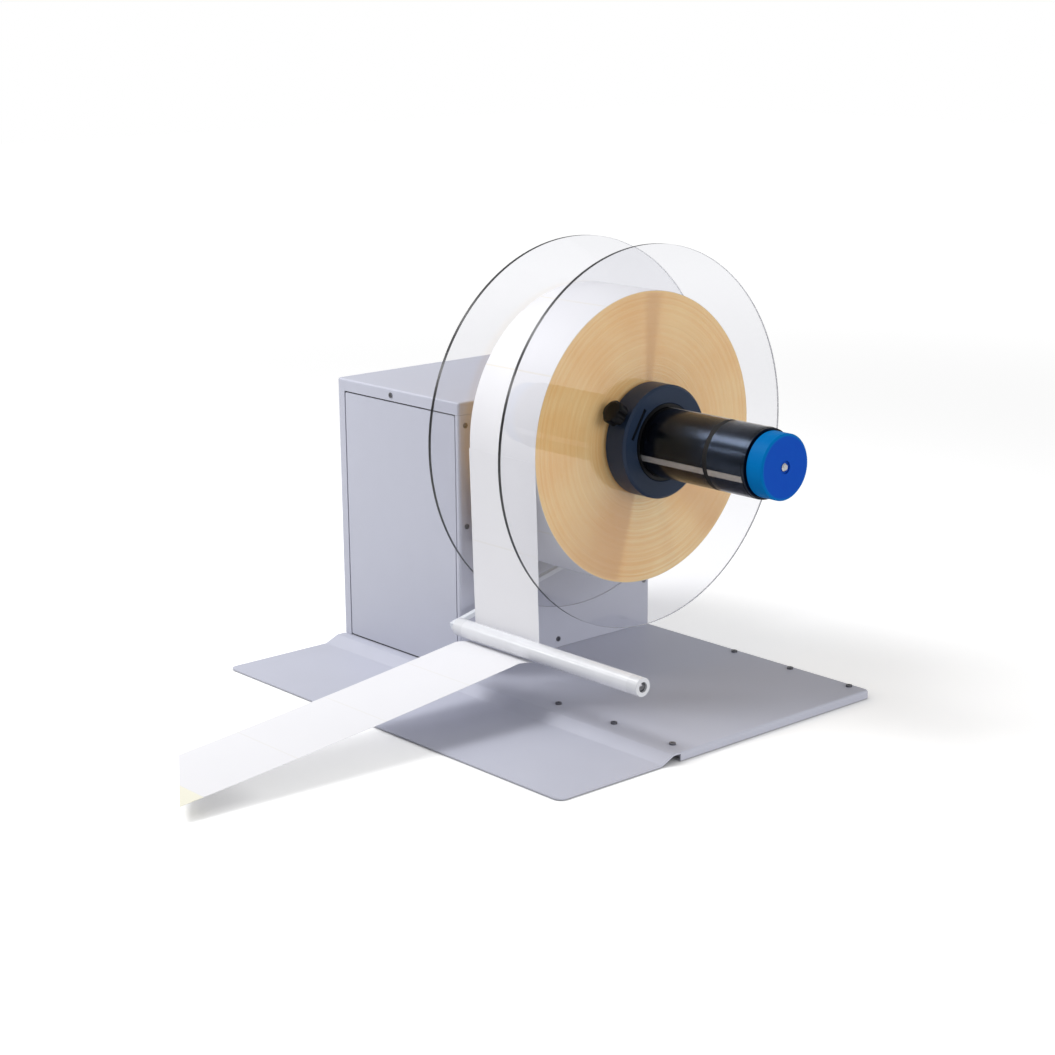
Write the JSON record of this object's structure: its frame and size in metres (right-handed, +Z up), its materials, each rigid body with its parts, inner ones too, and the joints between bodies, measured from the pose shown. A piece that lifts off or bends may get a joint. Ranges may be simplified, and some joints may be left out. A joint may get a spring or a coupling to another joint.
{
  "type": "label unwinder",
  "caption": "Motorised roll unwinder: a sheet-metal cabinet carries an expanding mandrel with clear flanges, and a sprung roller arm guides the label web.",
  "frame": {"origin": "on the table at the centre of the middle foot's underside, straight under the spindle's axis and in the plane of the cabinet's front", "axes": "+Z up; -Y out of the cabinet's front along the mandrel, towards the operator; -X the way the web leaves"},
  "size_m": [0.8161, 0.5714, 0.4903],
  "materials": {
    "grey_paint": "smooth powder coat",
    "plated_steel": "zinc plated",
    "dark_screws": "dark plated",
    "bright_screws": "bright plated",
    "rubber": "matt",
    "aluminium": "machined",
    "bearing_steel": "ground",
    "bars": "fine knurl",
    "slate_anodised": "dark anodised",
    "black_anodised": "gloss black anodised",
    "black_plastic": "satin",
    "blue_plastic": "smooth",
    "clear_plastic": "clear polished",
    "brass": "turned",
    "cardboard": "matt",
    "labels": "satin paper on liner",
    "label_face": "semi-gloss",
    "white_plastic": "smooth",
    "dark_motor": "satin",
    "supply_case": "plain",
    "board": "solder resist"
  },
  "bodies": {
    "cabinet": {"base_plate": "grey_paint", "base_rails": "plated_steel", "rubber_feet": "rubber", "base_screws": "dark_screws", "chassis": "plated_steel", "front_panel": "grey_paint", "outer_cover": "grey_paint", "left_side_panel": "grey_paint", "right_side_panel": "grey_paint", "cabinet_screws": "dark_screws", "bearing_plate": "aluminium", "spindle_housing": "aluminium", "housing_bolts": "dark_screws", "bearing_outer_rings": "bearing_steel", "drive_belt": "rubber", "gear_motor": "dark_motor", "motor_bracket": "plated_steel", "label_web_drop": "label_face", "label_web_run": "label_face", "dancer_housing": "aluminium", "return_spring": "bearing_steel", "position_sensor": "dark_motor", "power_inlet": "black_plastic", "power_supply": "supply_case", "control_board": "board"},
    "spindle": {"bearing_inner_rings": "bearing_steel", "spindle_shaft": "bearing_steel", "driven_pulley": "aluminium", "inner_hub": "slate_anodised", "inner_disc": "clear_plastic", "core_stop_ring": "black_plastic", "hub_screws": "dark_screws", "mandrel_tube": "black_anodised", "mandrel_end_ring": "black_anodised", "retaining_bands": "rubber", "core_tube": "cardboard", "label_roll": "labels"},
    "motor_shaft": {"motor_pulley": "aluminium"},
    "end_knob": {"draw_rod": "bearing_steel", "mandrel_knob": "blue_plastic", "knob_screw": "bright_screws"},
    "rear_cone": {"rear_cone": "aluminium"},
    "front_cone": {"front_cone": "aluminium"},
    "bar_top": {"expanding_bar_top": "bars"},
    "bar_left": {"expanding_bar_left": "bars"},
    "bar_right": {"expanding_bar_right": "bars"},
    "outer_flange": {"outer_disc": "clear_plastic", "outer_hub": "slate_anodised", "hub_sleeve": "black_plastic", "nut_plate": "plated_steel", "disc_screws": "dark_screws"},
    "clamp_shoe": {"clamp_shoe": "brass"},
    "star_knob": {"star_knob": "black_plastic"},
    "arm": {"dancer_arm": "aluminium", "roller_axle": "plated_steel", "axle_screw": "bright_screws", "dancer_shaft": "plated_steel"},
    "roller": {"roller_tube": "white_plastic", "roller_ends": "white_plastic"},
    "rocker": {"rocker_switch": "black_plastic"}
  },
  "joints": [
    {"name": "spindle_turn", "type": "hinge", "parent": "cabinet", "child": "spindle", "pos_m": [0, 0, 0.2803], "axis": [0, 1, 0], "continuous": true},
    {"name": "motor_turn", "type": "hinge", "parent": "cabinet", "child": "motor_shaft", "pos_m": [0.062, 0, 0.15], "axis": [0, 1, 0], "continuous": true},
    {"name": "knob_turn", "type": "hinge", "parent": "spindle", "child": "end_knob", "pos_m": [0, 0, 0.2803], "axis": [0, 1, 0], "range_deg": [-360, 0]},
    {"name": "rear_cone_slide", "type": "slide", "parent": "spindle", "child": "rear_cone", "axis": [0, 1, 0], "range_m": [0, 0.00205]},
    {"name": "front_cone_slide", "type": "slide", "parent": "spindle", "child": "front_cone", "axis": [0, -1, 0], "range_m": [0, 0.00205]},
    {"name": "bar_top_slide", "type": "slide", "parent": "spindle", "child": "bar_top", "axis": [-0.2045, 0, -0.9789], "range_m": [0, 0.00082]},
    {"name": "bar_left_slide", "type": "slide", "parent": "spindle", "child": "bar_left", "axis": [0.95, 0, 0.3123], "range_m": [0, 0.00082]},
    {"name": "bar_right_slide", "type": "slide", "parent": "spindle", "child": "bar_right", "axis": [-0.7455, 0, 0.6665], "range_m": [0, 0.00082]},
    {"name": "flange_slide", "type": "slide", "parent": "spindle", "child": "outer_flange", "axis": [0, -1, 0], "range_m": [0, 0.15]},
    {"name": "shoe_slide", "type": "slide", "parent": "outer_flange", "child": "clamp_shoe", "axis": [-0.8526, 0, 0.5225], "range_m": [0, 0.00255]},
    {"name": "star_turn", "type": "hinge", "parent": "clamp_shoe", "child": "star_knob", "pos_m": [0, -0.1603, 0.2803], "axis": [-0.8526, 0, 0.5225], "range_deg": [0, 720]},
    {"name": "arm_swing", "type": "hinge", "parent": "cabinet", "child": "arm", "pos_m": [0.015, 0, 0.121], "axis": [0, 1, 0], "range_deg": [-12, 16], "stiffness_Nm_per_rad": 1.5, "springref_deg": 16.04, "deforming": ["label_web_drop", "label_web_run"]},
    {"name": "roller_turn", "type": "hinge", "parent": "arm", "child": "roller", "pos_m": [-0.16553, 0, 0.07406], "axis": [0, 1, 0], "continuous": true},
    {"name": "rocker_tilt", "type": "hinge", "parent": "cabinet", "child": "rocker", "pos_m": [-0.064, 0.2185, 0.062], "axis": [-1, 0, 0], "range_deg": [0, 16]}
  ],
  "couplings": [
    {"joint": "motor_turn", "follows": "spindle_turn", "ratio": 2},
    {"joint": "rear_cone_slide", "follows": "knob_turn", "m_per_rad": -0.000318},
    {"joint": "front_cone_slide", "follows": "knob_turn", "m_per_rad": -0.000318},
    {"joint": "bar_top_slide", "follows": "knob_turn", "m_per_rad": -0.0001272},
    {"joint": "bar_left_slide", "follows": "knob_turn", "m_per_rad": -0.0001272},
    {"joint": "bar_right_slide", "follows": "knob_turn", "m_per_rad": -0.0001272},
    {"joint": "shoe_slide", "follows": "star_turn", "m_per_rad": 0.000198}
  ]
}
